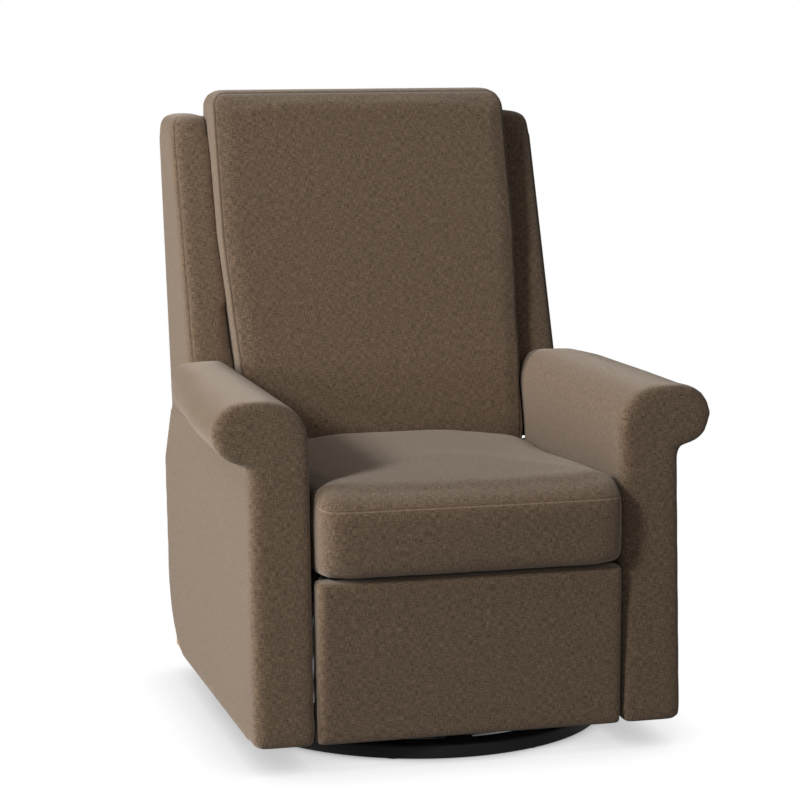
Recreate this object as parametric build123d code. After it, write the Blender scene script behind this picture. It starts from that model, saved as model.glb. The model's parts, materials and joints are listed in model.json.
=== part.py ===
from build123d import *
import math
import os

# A swivel glider recliner. Lengths are millimetres. X runs across the chair, and Z runs up
# from the floor. Depths are first given as "back": how far a point lies behind the front
# plane of the arms. save() then moves every piece to the part's own frame, whose origin is
# on the floor in the middle of the chair's footprint. The chair faces -Y.

# ---- overall ---------------------------------------------------------------------------
overall_depth = 960
overall_height = 1086
seat_between_arms = 532
cushion_overhang = 22        # the seat cushion bulges this far in front of the arms
origin_back = overall_depth / 2 - cushion_overhang
rear_back = overall_depth - cushion_overhang
inside = seat_between_arms / 2
back_line = rear_back - 377  # the front of the wings' lower end, which the back is set out from

# ---- clearances ------------------------------------------------------------------------
running = 0.06               # radial, pins in links and rollers on axles
axial_play = 0.2             # between a rivet's head and the link that turns under it
plate_gap = 1.0              # between neighbouring link plates
panel_side_gap = 3.5         # footrest panel to arm

# ---- steel sections --------------------------------------------------------------------
plate = 4.0
rivet_radius = 5.0
rivet_head_radius = 8.0
rivet_head = 2.3
link_half_width = 12.0

# ---- base and swivel -------------------------------------------------------------------
swivel_back = 355
base_radius = 329
base_ring_width = 36
floor_pad = 2.0
base_ring_top = 26
base_ring_edge = 7
spider_low = 6
spider_top = 22
spider_arm_width = 46
hub_radius = 80
floor_pad_radius = 14
floor_pad_count = 8
swivel_plate_radius = 95
bearing_inner_radius = 50
bearing_outer_radius = 88
bearing_thickness = 3.0
bearing_play = 0.2
pintle_radius = 12
pintle_head_radius = 18
pintle_head = 3.5
upper_plate_length = 180

# ---- swivel frame and glider -----------------------------------------------------------
rail_outer = 150
rail_width = 25
rail_height = 28
glide_pivot_spread = 300
glide_link_length = 120
glide_upper_z = 190
glide_link_gap = 2.0
glide_link_half_width = 13
glide_frame_overhang = 15    # the swivel frame reaches this far past the glide pivots
glide_post_foot = 64
glide_pin_radius = 6
glide_pin_head_radius = 10
glide_pin_head = 1.5

# ---- chassis ---------------------------------------------------------------------------
chassis_tube_radius = 12.5
chassis_tube_z = 212
chassis_tube_spread = 160
hanger_low = 58
hanger_lip = 4               # steel left round the tubes and pins
hanger_window_radius = 42
chassis_plate_inner = inside - 24
chassis_plate_front = 200
chassis_plate_rear = back_line + 24
chassis_plate_low = 196
chassis_plate_top = 292
cleat_low = 198
cleat_top = 238
arm_bolt_radius = 4
arm_bolt_head_radius = 7
arm_bolt_head = 2.3
arm_bolt_backs = (chassis_plate_front + 32, chassis_plate_rear - 29)

# ---- rollers ---------------------------------------------------------------------------
seat_travel = 50
roller_radius = 9
roller_slot_play = 0.2
roller_axle_radius = 4
roller_z = 268
roller_backs = (280, back_line - 41)
roller_cap_radius = 12.5
roller_cap = 2.5

# ---- arms ------------------------------------------------------------------------------
arm_width = 105
arm_low = 45
arm_roll_top = 615
arm_roll_radius = 51.5
arm_overhang = 59.5          # the roll reaches this far past the outside panel
arm_inner_corner = 70
arm_rear_top = 604
arm_fall_start = back_line - 131
arm_taper_start = 42         # the roll keeps its full width this far back
arm_lean = 31 / 467          # the front face leans back as it rises
arm_wall = 18
arm_front_wall = 46
arm_rear_wall = 18
inner_board_top = 300
arm_panel = 10
arm_frame_rail = 22
arm_frame_clear = 1.0
arm_side_foot = back_line + 49        # the outside panel's lower edge ends here
arm_side_heel = (back_line + 177, 104)
arm_side_rear_low = (back_line + 214, 213)
arm_side_rear = (back_line + 234, 400)
arm_side_shoulder = (back_line + 139, 545)
arm_box_rear = back_line + 184
arm_heel_flat = 35           # the padded heel behind the arm is level this far back
arm_heel_gap = 5             # from the heel's level top to the wing above it
arm_heel_clear = 11          # from the heel's rear edge to the wing when the back is down
arm_rear_skin = 7
wing_gap = 4

# ---- back ------------------------------------------------------------------------------
back_low = 445
wing_inner = inside + 18
wing_outer = wing_inner + 68
wing_top = overall_height - 46
wing_front_slope = 0.40
rear_slope = 0.1986
wing_corner = 30
wing_edge = 20
wing_cheek_top = 700         # the padding on the wing's inner side ends here
wing_cheek_inset = 8         # from the wing's front face to this padding
wing_cheek_gap = 1.5         # from this padding to the back cushion
outside_back = 12
outside_back_low = 210
outside_back_top = wing_top - 10
outside_back_half_width = inside - 8
outside_back_corner = 20
back_pivot_back = back_line + 39
back_pivot_z = 300
back_swing = math.radians(32)  # how far the back leans from rest
back_side_slope = 0.323
back_side_front = back_line + 56      # front edge of the plywood sides at their lower end
back_side_low = 320
back_side_top = wing_top - 40
back_side_outer = chassis_plate_inner - 15
back_side_board = 18
back_rail = 32
back_rail_depth = 40
bracket_rise = 130           # the bracket reaches this far up the plywood side
bracket_width = 44
bracket_eye_radius = 18
bracket_screw_radius = 3
bracket_screw_inset = 22
bracket_screw_heights = (back_side_low + 55, back_side_low + 105)
back_padding_gap = 0.5
webbing = 1.2

# ---- seat ------------------------------------------------------------------------------
seat_plate_inner = chassis_plate_inner - 10
seat_frame_half_width = seat_plate_inner - 20
seat_frame_front = 60
seat_frame_rear = back_line - 1
seat_frame_low = 252
seat_frame_top = 318
seat_rail = 32
seat_screw_radius = 2.5
seat_screw_depth = 25
seat_screw_offset = 5        # from a roller's axle to the screw behind it
webbing_width = 50
webbing_edge = 45            # from the seat frame's ends to the first cross band's middle
long_band_count = 5
cross_band_count = 6
back_band_count = 8
deck = 2.0
deck_front = 30
deck_rear = back_line + 14
cushion_low = 323
cushion_half_width = inside - 4
cushion_draw_in = 7
cushion_rear = back_line - 14
cushion_crown = 476
cushion_front_top = 447
cushion_side_top = 450
cushion_corner = 28
back_cushion_half_width = wing_inner - 3
back_cushion_low_half_width = inside - 13
back_cushion_widest_z = 820  # above this the sides are upright
back_cushion_low = 332
back_cushion_corner = 27
back_cushion_low_front = back_line - 12.6
back_cushion_bend_z = 478    # below this the front face is upright
back_cushion_waist = (back_line + 18, 584)
back_cushion_slope = 0.3465  # how the front face leans above the waist
back_cushion_hollow = 4.5    # how far the face lies behind a straight line halfway up
back_cushion_brow = 58       # from the front face's upper end back to the flat top
back_cushion_nape = 31       # from the flat top back to the rear face

# ---- footrest --------------------------------------------------------------------------
drive_pivot = (150, 250)
drive_length = 189.5
drive_hang = math.radians(20.06)
pantograph_base = 65         # between the drive link's and the idler link's pivots
pantograph_rise = math.radians(53.3)
long_length = 234.4
second_pivot = 40            # from the long link's pivot to the upper link's
cross_tube_at = 170
cross_tube_radius = 8
footrest_low = 45
footrest_top = 318
footrest_pad = 25
footrest_board = 18
footrest_board_half_width = inside - 16
footrest_board_inset = 12
footrest_edge = 12
footrest_bracket_low = 150

# ---- release lever ---------------------------------------------------------------------
lever_pivot = (330, 264)
lever_thickness = 2.4
lever_gap = 0.8              # from the lever to the arm's inner side
lever_top = (345, 470)
lever_width = 20
lever_pin_radius = 4

steel_layers = [seat_plate_inner - i * (plate + plate_gap) for i in range(4)]
arm_outside = inside + arm_width
arm_roll_outer = arm_outside + arm_overhang
arm_body_outer = arm_outside - arm_panel
frame_inner = inside + arm_wall


# ---- helpers ---------------------------------------------------------------------------
def outline(points):
    """A closed flat outline through (across, up) points."""
    return make_face(Polyline(*points, close=True))


def slab(shape, low, high):
    """A side-view outline (back, up) given a thickness from low to high along X."""
    return extrude(Plane.YZ.offset(low) * shape, amount=high - low)


def front_slab(shape, near, far):
    """A front-view outline (across, up) given a depth from near to far."""
    return extrude(Plane.XZ.offset(-near) * shape, amount=near - far)


def box(x0, x1, y0, y1, z0, z1):
    """A box between two corners."""
    return Pos((x0 + x1) / 2, (y0 + y1) / 2, (z0 + z1) / 2) * Box(x1 - x0, y1 - y0, z1 - z0)


def dot(point, radius):
    """A round spot in a side-view outline."""
    return Pos(point[0], point[1]) * Circle(radius)


def rod(point, radius, low, high):
    """A round bar along X at a (back, up) point."""
    return slab(dot(point, radius), low, high)


def bar_outline(start, end, half_width):
    """A flat link with round ends, seen from the side."""
    run = math.dist(start, end)
    angle = math.degrees(math.atan2(end[1] - start[1], end[0] - start[0]))
    middle = ((start[0] + end[0]) / 2, (start[1] + end[1]) / 2)
    bar = Pos(*middle) * Rot(0, 0, angle) * Rectangle(run, 2 * half_width)
    return bar + dot(start, half_width) + dot(end, half_width)


def upright(x, back, radius, low, high):
    """A round bar along Z."""
    return Pos(x, back, (low + high) / 2) * Cylinder(radius, high - low)


def both(piece):
    """A piece and its mirror image across the chair's middle."""
    return [piece, mirror(piece, about=Plane.YZ)]


def save(name, pieces):
    """Write one sub-part, moved to the part's own frame."""
    solids = []
    for piece in pieces:
        moved = Pos(0, -origin_back, 0) * piece
        solids += moved.solids()
    shape = solids[0] if len(solids) == 1 else Compound(children=solids)
    export_step(shape, "parts/" + name + ".step")


# ---- shared lines and points -----------------------------------------------------------
def wing_front(z):
    """How far back the wings' front face lies at a height."""
    return back_line + wing_front_slope * (z - back_low)


def rear_face(z):
    """How far back the outside back lies at a height."""
    return rear_back + rear_slope * (z - outside_back_top)


def outside_back_inner(z):
    """The inner face of the outside back panel."""
    return rear_face(z) - outside_back


def side_front(z):
    """The front edge of the plywood back sides at a height."""
    return back_side_front + back_side_slope * (z - back_side_low)


def back_cushion_side(z):
    """Half the back cushion's width at a height, below its widest line."""
    rise = (z - back_cushion_low - back_cushion_corner) / (
        back_cushion_widest_z - back_cushion_low - back_cushion_corner)
    return back_cushion_low_half_width + rise * (back_cushion_half_width - back_cushion_low_half_width)


def wing_swept(back):
    """How low the wing's lower face comes at a depth when the back is down."""
    reach = (back_low - back_pivot_z) / math.cos(back_swing)
    return back_pivot_z + reach - (back - back_pivot_back + seat_travel) * math.tan(back_swing)


def along(start, angle, length):
    """The point at a length and an angle from another, in the side view."""
    return (start[0] + length * math.cos(angle), start[1] + length * math.sin(angle))


link_down = drive_hang - math.pi / 2
link_up = math.pi - pantograph_rise
idler_pivot = along(drive_pivot, link_up, pantograph_base)
long_foot = along(drive_pivot, link_down, drive_length)
idler_foot = along(long_foot, link_up, pantograph_base)
long_head = along(long_foot, link_up, long_length)
upper_foot = along(long_foot, link_down + math.pi, second_pivot)
upper_head = along(upper_foot, link_up, long_length)
cross_tube_point = along(long_foot, link_up, cross_tube_at)

glide_backs = (swivel_back - glide_pivot_spread / 2, swivel_back + glide_pivot_spread / 2)
glide_lower_z = glide_upper_z - glide_link_length
tube_backs = (swivel_back - chassis_tube_spread / 2, swivel_back + chassis_tube_spread / 2)
post_outer = rail_outer + plate
glide_link_inner = post_outer + glide_link_gap
hanger_inner = glide_link_inner + plate + glide_link_gap
spider_hub_top = base_ring_top
lower_plate_top = spider_hub_top + plate
bearing_top = lower_plate_top + bearing_thickness
upper_plate_low = bearing_top + bearing_play
upper_plate_top = upper_plate_low + plate
rail_top = upper_plate_top + rail_height


# ---- base ------------------------------------------------------------------------------
def base():
    ring = upright(0, swivel_back, base_radius, floor_pad, base_ring_top)
    ring = fillet(ring.edges().group_by(Axis.Z)[-1], base_ring_edge)
    inner_radius = base_radius - base_ring_width
    ring -= upright(0, swivel_back, inner_radius, 0, base_ring_top + 1)
    save("base_ring", [ring])

    pads = []
    pad_circle = base_radius - base_ring_width / 2
    for i in range(floor_pad_count):
        turn = math.radians(360 * (i + 0.5) / floor_pad_count)
        x = pad_circle * math.cos(turn)
        back = swivel_back + pad_circle * math.sin(turn)
        pads.append(upright(x, back, floor_pad_radius, 0, floor_pad))
    save("floor_pads", pads)

    reach = upright(0, swivel_back, inner_radius, spider_low, spider_top)
    hub_round = upright(0, swivel_back, hub_radius, 0, base_ring_top)
    arms = []
    for i in range(4):
        arm = box(0, base_radius, -spider_arm_width / 2, spider_arm_width / 2, spider_low, spider_top)
        arm = Pos(0, swivel_back, 0) * Rot(0, 0, 90 * i) * arm
        arms.append((arm & reach) - hub_round)
    save("base_spider", arms)

    hub = upright(0, swivel_back, hub_radius, spider_low, spider_hub_top)
    hub -= upright(0, swivel_back, pintle_radius, 0, overall_height)
    save("base_hub", [hub])

    lower = upright(0, swivel_back, swivel_plate_radius, spider_hub_top, lower_plate_top)
    lower -= upright(0, swivel_back, pintle_radius, 0, overall_height)
    save("swivel_lower_plate", [lower])

    washer = upright(0, swivel_back, bearing_outer_radius, lower_plate_top, bearing_top)
    washer -= upright(0, swivel_back, bearing_inner_radius, 0, overall_height)
    save("swivel_bearing", [washer])

    head_low = upper_plate_top + bearing_play
    pintle = upright(0, swivel_back, pintle_radius, spider_low, head_low)
    pintle += upright(0, swivel_back, pintle_head_radius, head_low, head_low + pintle_head)
    save("swivel_pintle", [pintle])


# ---- swivel frame ----------------------------------------------------------------------
def swivel_frame():
    half = upper_plate_length / 2
    upper = box(-rail_outer, rail_outer, swivel_back - half, swivel_back + half,
                upper_plate_low, upper_plate_top)
    upper -= upright(0, swivel_back, pintle_radius + running, 0, overall_height)
    save("swivel_upper_plate", [upper])

    rail_inner = rail_outer - rail_width
    ends = [back + side * glide_frame_overhang for back, side in zip(glide_backs, (-1, 1))]
    rail = box(rail_inner, rail_outer, ends[0], ends[1], upper_plate_top, rail_top)
    cross_front = box(-rail_inner, rail_inner, ends[0], ends[0] + rail_width, upper_plate_top, rail_top)
    cross_rear = box(-rail_inner, rail_inner, ends[1] - rail_width, ends[1], upper_plate_top, rail_top)
    save("swivel_frame_rails", both(rail) + [cross_front, cross_rear])

    posts = []
    for back, side in zip(glide_backs, (1, -1)):
        foot = back - side * glide_frame_overhang
        top = glide_link_half_width
        shape = outline([(foot, upper_plate_top), (foot + side * glide_post_foot, upper_plate_top),
                         (foot + side * glide_post_foot, rail_top), (back + side * top, glide_upper_z),
                         (back - side * top, glide_upper_z), (foot, rail_top)])
        shape += dot((back, glide_upper_z), top)
        post = slab(shape, rail_outer, post_outer)
        post -= rod((back, glide_upper_z), glide_pin_radius, 0, overall_height)
        posts += both(post)
    save("glide_posts", posts)

    pins = []
    link_outer = glide_link_inner + plate
    for back in glide_backs:
        at = (back, glide_upper_z)
        pin = rod(at, glide_pin_radius, rail_outer, link_outer + axial_play)
        pin += rod(at, glide_pin_head_radius - 1, post_outer, glide_link_inner - axial_play)
        pin += rod(at, glide_pin_head_radius, link_outer + axial_play,
                   link_outer + axial_play + glide_pin_head)
        pins += both(pin)
    save("glide_upper_pins", pins)


def glide_links():
    for name, back in zip(("front_glide_links", "rear_glide_links"), glide_backs):
        top = (back, glide_upper_z)
        foot = (back, glide_lower_z)
        link = slab(bar_outline(top, foot, glide_link_half_width), glide_link_inner, glide_link_inner + plate)
        for at in (top, foot):
            link -= rod(at, glide_pin_radius + running, 0, overall_height)
        save(name, both(link))


# ---- chassis ---------------------------------------------------------------------------
def chassis():
    half_tube = chassis_tube_radius + hanger_lip
    bar_top = glide_lower_z + glide_link_half_width + hanger_lip
    rear_end = glide_backs[1] + glide_link_half_width
    front_end = glide_backs[0] - glide_link_half_width
    shape = outline([(front_end, hanger_low), (rear_end, hanger_low), (rear_end, bar_top),
                     (tube_backs[1] + half_tube, chassis_tube_z + half_tube),
                     (tube_backs[0] - half_tube, chassis_tube_z + half_tube), (front_end, bar_top)])
    shape -= dot((swivel_back, (glide_lower_z + chassis_tube_z) / 2 + hanger_lip), hanger_window_radius)
    hanger = slab(shape, hanger_inner, hanger_inner + plate)
    for back in tube_backs:
        hanger -= rod((back, chassis_tube_z), chassis_tube_radius, 0, overall_height)
    for back in glide_backs:
        hanger -= rod((back, glide_lower_z), glide_pin_radius, 0, overall_height)
    save("hanger_plates", both(hanger))

    tubes = []
    for back in tube_backs:
        tube = rod((back, chassis_tube_z), chassis_tube_radius, -chassis_plate_inner, chassis_plate_inner)
        tube -= rod((back, chassis_tube_z), chassis_tube_radius - 2, -overall_height, overall_height)
        tubes.append(tube)
    save("chassis_tubes", tubes)

    pins = []
    for back in glide_backs:
        at = (back, glide_lower_z)
        inner = glide_link_inner - axial_play
        pin = rod(at, glide_pin_radius, inner, hanger_inner + plate)
        pin += rod(at, glide_pin_head_radius, inner - glide_pin_head, inner)
        pin += rod(at, glide_pin_head_radius - 1, glide_link_inner + plate + axial_play, hanger_inner)
        pin += rod(at, glide_pin_head_radius, hanger_inner + plate, hanger_inner + 2 * plate)
        pins += both(pin)
    save("glide_lower_pins", pins)

    outer = chassis_plate_inner + plate
    shape = outline([(chassis_plate_front, chassis_plate_low), (chassis_plate_rear, chassis_plate_low),
                     (chassis_plate_rear, chassis_plate_top), (chassis_plate_front, chassis_plate_top)])
    shape = fillet(shape.vertices(), 12)
    side = slab(shape, chassis_plate_inner, outer)
    slot_half = roller_radius + roller_slot_play
    for back in roller_backs:
        slot = bar_outline((back - seat_travel, roller_z), (back, roller_z), slot_half)
        side -= slab(slot, 0, overall_height)
    cleat = box(outer, inside, chassis_plate_front + 5, chassis_plate_rear - 5, cleat_low, cleat_top)
    bolt_z = (cleat_low + cleat_top) / 2
    bolts = []
    for back in arm_bolt_backs:
        hole = rod((back, bolt_z), arm_bolt_radius, chassis_plate_inner - 1, frame_inner - 6)
        side -= hole
        cleat -= hole
        bolt = rod((back, bolt_z), arm_bolt_radius, chassis_plate_inner, frame_inner - 6)
        head = chassis_plate_inner - arm_bolt_head
        bolts += both(bolt + rod((back, bolt_z), arm_bolt_head_radius, head, chassis_plate_inner))
    save("chassis_plates", both(side))
    save("arm_cleats", both(cleat))
    save("arm_bolts", bolts)


# ---- arms ------------------------------------------------------------------------------
def arm_front(z):
    """How far back the arm's front face lies at a height."""
    return arm_lean * (z - arm_low)


def arms():
    top = arm_roll_top
    corner_end = inside + arm_inner_corner
    middle = arm_inner_corner * (1 - math.sqrt(0.5))
    body_line = Polyline((inside, top - arm_inner_corner), (inside, arm_low), (arm_body_outer, arm_low),
                         (arm_body_outer, top), (corner_end, top))
    corner = ThreePointArc((corner_end, top), (inside + middle, top - middle),
                           (inside, top - arm_inner_corner))
    rear_end = wing_front(arm_rear_top) - wing_gap
    body = front_slab(make_face([*body_line.edges(), corner]), 0, rear_end)

    centre_x = arm_roll_outer - arm_roll_radius
    centre_z = top - arm_roll_radius
    low = top - 2 * arm_roll_radius
    bend = arm_roll_radius * math.sqrt(0.5)
    front_lines = [Line((arm_body_outer, low), (arm_body_outer, top)),
                   Line((arm_body_outer, top), (centre_x, top)),
                   ThreePointArc((centre_x, top), (centre_x + bend, centre_z + bend),
                                 (arm_roll_outer, centre_z)),
                   ThreePointArc((arm_roll_outer, centre_z), (centre_x + bend, centre_z - bend),
                                 (centre_x, low)),
                   Line((centre_x, low), (arm_body_outer, low))]
    rear_side = arm_outside + 1
    rear_lines = [Line((arm_body_outer, low), (arm_body_outer, arm_rear_top)),
                  Line((arm_body_outer, arm_rear_top), (arm_body_outer + 2, arm_rear_top)),
                  ThreePointArc((arm_body_outer + 2, arm_rear_top), (rear_side - 2.4, arm_rear_top - 7),
                                (rear_side, arm_rear_top - 20)),
                  ThreePointArc((rear_side, arm_rear_top - 20), (rear_side + 1, centre_z - 20),
                                (rear_side - 1, low)),
                  Line((rear_side - 1, low), (arm_body_outer, low))]
    roll_front = make_face(front_lines)
    front_shape = Plane.XZ.offset(-arm_taper_start) * roll_front
    rear_shape = Plane.XZ.offset(-rear_end) * make_face(rear_lines)
    roll = loft([front_shape, rear_shape], ruled=True)
    cover = body + front_slab(roll_front, 0, arm_taper_start) + roll

    front_cut = outline([(-5, arm_low - 1), (arm_front(arm_low - 1), arm_low - 1),
                         (arm_front(top + 5), top + 5), (-5, top + 5)])
    cover -= slab(front_cut, 0, overall_height)
    cover_rear = wing_front(back_low) - wing_gap
    rear_cut = outline([(cover_rear, arm_low - 1), (cover_rear, back_low),
                        (wing_front(top + 5) - wing_gap, top + 5), (rear_back, top + 5),
                        (rear_back, arm_low - 1)])
    cover -= slab(rear_cut, 0, overall_height)
    fall_end = (rear_end + 40, arm_rear_top - 8)
    fall_middle = ((arm_fall_start + rear_end) / 2 + 30, top - 3.5)
    fall = make_face([Line((arm_fall_start, top), (fall_end[0], top)),
                      Line((fall_end[0], top), fall_end),
                      ThreePointArc(fall_end, fall_middle, (arm_fall_start, top))])
    cover -= slab(fall, 0, overall_height)

    front_wall = arm_front_wall
    rear_wall = cover_rear - arm_rear_wall
    pocket_top = low - 7
    cover -= box(frame_inner, overall_height, front_wall, rear_wall, 0, pocket_top)
    cover -= box(0, frame_inner + 1, front_wall, rear_back, 0, inner_board_top)
    cover -= box(0, overall_height, rear_wall, rear_back, 0, inner_board_top)
    save("arm_cover_left", [cover])
    save("arm_cover_right", [mirror(cover, about=Plane.YZ)])

    heel_top = back_low - arm_heel_gap
    heel_rear = arm_box_rear + arm_rear_skin
    heel = slab(outline([(cover_rear, inner_board_top), (cover_rear, heel_top),
                         (cover_rear + arm_heel_flat, heel_top),
                         (heel_rear, wing_swept(heel_rear) - arm_heel_clear),
                         (heel_rear, inner_board_top)]), inside, arm_body_outer)
    skin = box(inside, arm_body_outer, arm_box_rear, heel_rear, arm_low + 2, inner_board_top)
    save("arm_rear_left", [heel, skin])
    save("arm_rear_right", [mirror(piece, about=Plane.YZ) for piece in (heel, skin)])

    board = box(inside, frame_inner, front_wall, arm_box_rear, arm_low + 2, inner_board_top)
    bolt_z = (cleat_low + cleat_top) / 2
    for back in arm_bolt_backs:
        board -= rod((back, bolt_z), arm_bolt_radius, 0, frame_inner - 6)
    board -= rod(lever_pivot, lever_pin_radius, 0, frame_inner - 6)
    save("arm_inner_boards", both(board))

    rail = arm_frame_rail
    low_z = arm_low + 2
    post_top = pocket_top - 1
    front = front_wall + arm_frame_clear
    rear = rear_wall - arm_frame_clear
    heel_rail = inner_board_top - rail
    spans = [(front, front_wall + rail, low_z, post_top),
             (rear_wall - rail, rear, low_z, post_top),
             (front_wall + rail, rear_wall - rail, pocket_top - rail, post_top),
             (front_wall + rail, rear_wall - rail, low_z, low_z + rail),
             (rear, arm_box_rear - rail, low_z, low_z + rail),
             (rear, arm_box_rear - rail, heel_rail, inner_board_top),
             (arm_box_rear - rail, arm_box_rear, low_z, inner_board_top)]
    bars = [box(frame_inner, arm_body_outer, *span) for span in spans]
    save("arm_frames", [half for bar in bars for half in both(bar)])

    roll_end = rear_end + 1
    foot = (arm_side_foot, arm_low + 2)
    end = (roll_end + 12, arm_rear_top - 12)
    side = make_face([Line((4, arm_low + 2), foot), ThreePointArc(foot, arm_side_heel, arm_side_rear_low),
                      Line(arm_side_rear_low, arm_side_rear), Line(arm_side_rear, arm_side_shoulder),
                      ThreePointArc(arm_side_shoulder, (end[0] + 37, end[1] - 15), end),
                      *Polyline(end, (roll_end, end[1]), (roll_end, low - 0.5),
                                (arm_front(low) + 4, low - 0.5), (4, arm_low + 2)).edges()])
    panel = slab(side, arm_body_outer, arm_outside)
    save("outside_arm_left", [panel])
    save("outside_arm_right", [mirror(panel, about=Plane.YZ)])


# ---- seat ------------------------------------------------------------------------------
def seat():
    layer = seat_plate_inner
    shape = bar_outline(drive_pivot, idler_pivot, 16)
    eye = bracket_eye_radius
    shape += outline([(idler_pivot[0], idler_pivot[1] + 16), idler_pivot,
                      (drive_pivot[0], drive_pivot[1] - 16), (roller_backs[1] + 30, drive_pivot[1] - 10),
                      (back_pivot_back, back_pivot_z - eye), (back_pivot_back, back_pivot_z + eye)])
    shape += dot((back_pivot_back, back_pivot_z), eye)
    side = slab(shape, layer, layer + plate)
    tab_low = seat_frame_low - plate
    tab_inner = seat_frame_half_width - seat_rail + 5
    for back in roller_backs:
        side += box(tab_inner, layer, back - 30, back + 40, tab_low, seat_frame_low)
    for at in (drive_pivot, idler_pivot, (back_pivot_back, back_pivot_z)):
        side -= rod(at, rivet_radius, 0, overall_height)
    axles = []
    rollers = []
    chassis_outer = chassis_plate_inner + plate
    for back in roller_backs:
        at = (back, roller_z)
        side -= rod(at, roller_axle_radius, 0, overall_height)
        shoulder = chassis_plate_inner - 1.3
        cap = chassis_outer + 1.3
        axle = rod(at, roller_axle_radius, layer, cap)
        axle += rod(at, roller_axle_radius + 3, layer + plate, shoulder)
        axle += rod(at, roller_cap_radius, cap, cap + roller_cap)
        axles += both(axle)
        roller = rod(at, roller_radius, shoulder + 0.1, cap - 0.1)
        roller -= rod(at, roller_axle_radius, 0, overall_height)
        rollers += both(roller)
    screws = []
    for back in roller_backs:
        x = seat_frame_half_width - seat_rail / 2
        at = back + seat_screw_offset
        screw_top = seat_frame_low + seat_screw_depth
        side -= upright(x, at, seat_screw_radius, tab_low - 1, screw_top)
        screw = upright(x, at, seat_screw_radius, tab_low, screw_top)
        screw += upright(x, at, 2 * seat_screw_radius, tab_low - seat_screw_radius, tab_low)
        screws += both(screw)
    save("seat_plates", both(side))
    save("roller_axles", axles)
    save("seat_rollers", rollers)
    save("seat_screws", screws)

    outer = seat_frame_half_width
    rail = box(outer - seat_rail, outer, seat_frame_front, seat_frame_rear, seat_frame_low, seat_frame_top)
    for back in roller_backs:
        at = back + seat_screw_offset
        rail -= upright(outer - seat_rail / 2, at, seat_screw_radius, 0, seat_frame_low + seat_screw_depth)
    inner = outer - seat_rail
    front = box(-inner, inner, seat_frame_front, seat_frame_front + 25, seat_frame_low, seat_frame_top)
    rear = box(-inner, inner, seat_frame_rear - 25, seat_frame_rear, seat_frame_low, seat_frame_top)
    save("seat_frame", both(rail) + [front, rear])

    half = webbing_width / 2
    low = seat_frame_top + webbing
    bands = []
    for i in range(long_band_count):
        x = (i - (long_band_count - 1) / 2) * 2 * inner / long_band_count
        bands.append(box(x - half, x + half, seat_frame_front, seat_frame_rear, seat_frame_top, low))
    for i in range(cross_band_count):
        step = (seat_frame_rear - seat_frame_front - 2 * webbing_edge) / (cross_band_count - 1)
        back = seat_frame_front + webbing_edge + i * step
        bands.append(box(-outer, outer, back - half, back + half, low, low + webbing))
    save("seat_webbing", bands)
    deck_low = seat_frame_top + 2 * webbing
    save("seat_deck", [box(-outer, outer, deck_front, deck_rear, deck_low, deck_low + deck)])


def seat_cushion():
    half = cushion_half_width
    rear = cushion_rear
    front = -cushion_overhang + 4
    r = cushion_corner
    bow = r * (1 - math.sqrt(0.5))
    draw = cushion_draw_in
    mid = (front + rear) / 2
    plan = make_face([
        ThreePointArc((-half + r, front), (0, -cushion_overhang), (half - r, front)),
        ThreePointArc((half - r, front), (half - bow, front + bow), (half, front + r)),
        ThreePointArc((half, front + r), (half - draw, mid), (half, rear - r)),
        ThreePointArc((half, rear - r), (half - bow, rear - bow), (half - r, rear)),
        Line((half - r, rear), (-half + r, rear)),
        ThreePointArc((-half + r, rear), (-half + bow, rear - bow), (-half, rear - r)),
        ThreePointArc((-half, rear - r), (-half + draw, mid), (-half, front + r)),
        ThreePointArc((-half, front + r), (-half + bow, front + bow), (-half + r, front))])
    block = extrude(plan, amount=overall_height)
    edge = cushion_side_top
    soft = 14
    slope = soft * (1 - math.sqrt(0.5))
    low = cushion_low
    wide = half + 1
    across = make_face([
        Line((-wide + soft, low), (wide - soft, low)),
        ThreePointArc((wide - soft, low), (wide - slope, low + slope), (wide, low + soft)),
        Line((wide, low + soft), (wide, edge - soft)),
        ThreePointArc((wide, edge - soft), (wide - slope, edge - slope), (wide - soft, edge)),
        ThreePointArc((wide - soft, edge), (0, cushion_crown), (-wide + soft, edge)),
        ThreePointArc((-wide + soft, edge), (-wide + slope, edge - slope), (-wide, edge - soft)),
        Line((-wide, edge - soft), (-wide, low + soft)),
        ThreePointArc((-wide, low + soft), (-wide + slope, low + slope), (-wide + soft, low))])
    block &= front_slab(across, -cushion_overhang - 5, rear + 5)
    nose = 26
    tuck = nose * (1 - math.sqrt(0.5))
    lead = -cushion_overhang - 0.5
    top = cushion_front_top
    side = make_face([
        Line((rear + 1, low), (lead + nose, low)),
        ThreePointArc((lead + nose, low), (lead + tuck, low + tuck), (lead, low + nose)),
        Line((lead, low + nose), (lead, top - nose)),
        ThreePointArc((lead, top - nose), (lead + tuck, top - tuck), (lead + nose, top)),
        ThreePointArc((lead + nose, top), ((lead + rear) / 2, cushion_crown + 1),
                      (rear + 1, cushion_crown - 5)),
        Line((rear + 1, cushion_crown - 5), (rear + 1, low))])
    block &= slab(side, -half - 5, half + 5)
    save("seat_cushion", [block])


# ---- footrest --------------------------------------------------------------------------
def link(start, end, layer, holes, snug=()):
    """One flat link in a layer, with running holes and snug holes."""
    low = steel_layers[layer]
    piece = slab(bar_outline(start, end, link_half_width), low, low + plate)
    for at in holes:
        piece -= rod(at, rivet_radius + running, 0, overall_height)
    for at in snug:
        piece -= rod(at, rivet_radius, 0, overall_height)
    return piece


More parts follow.
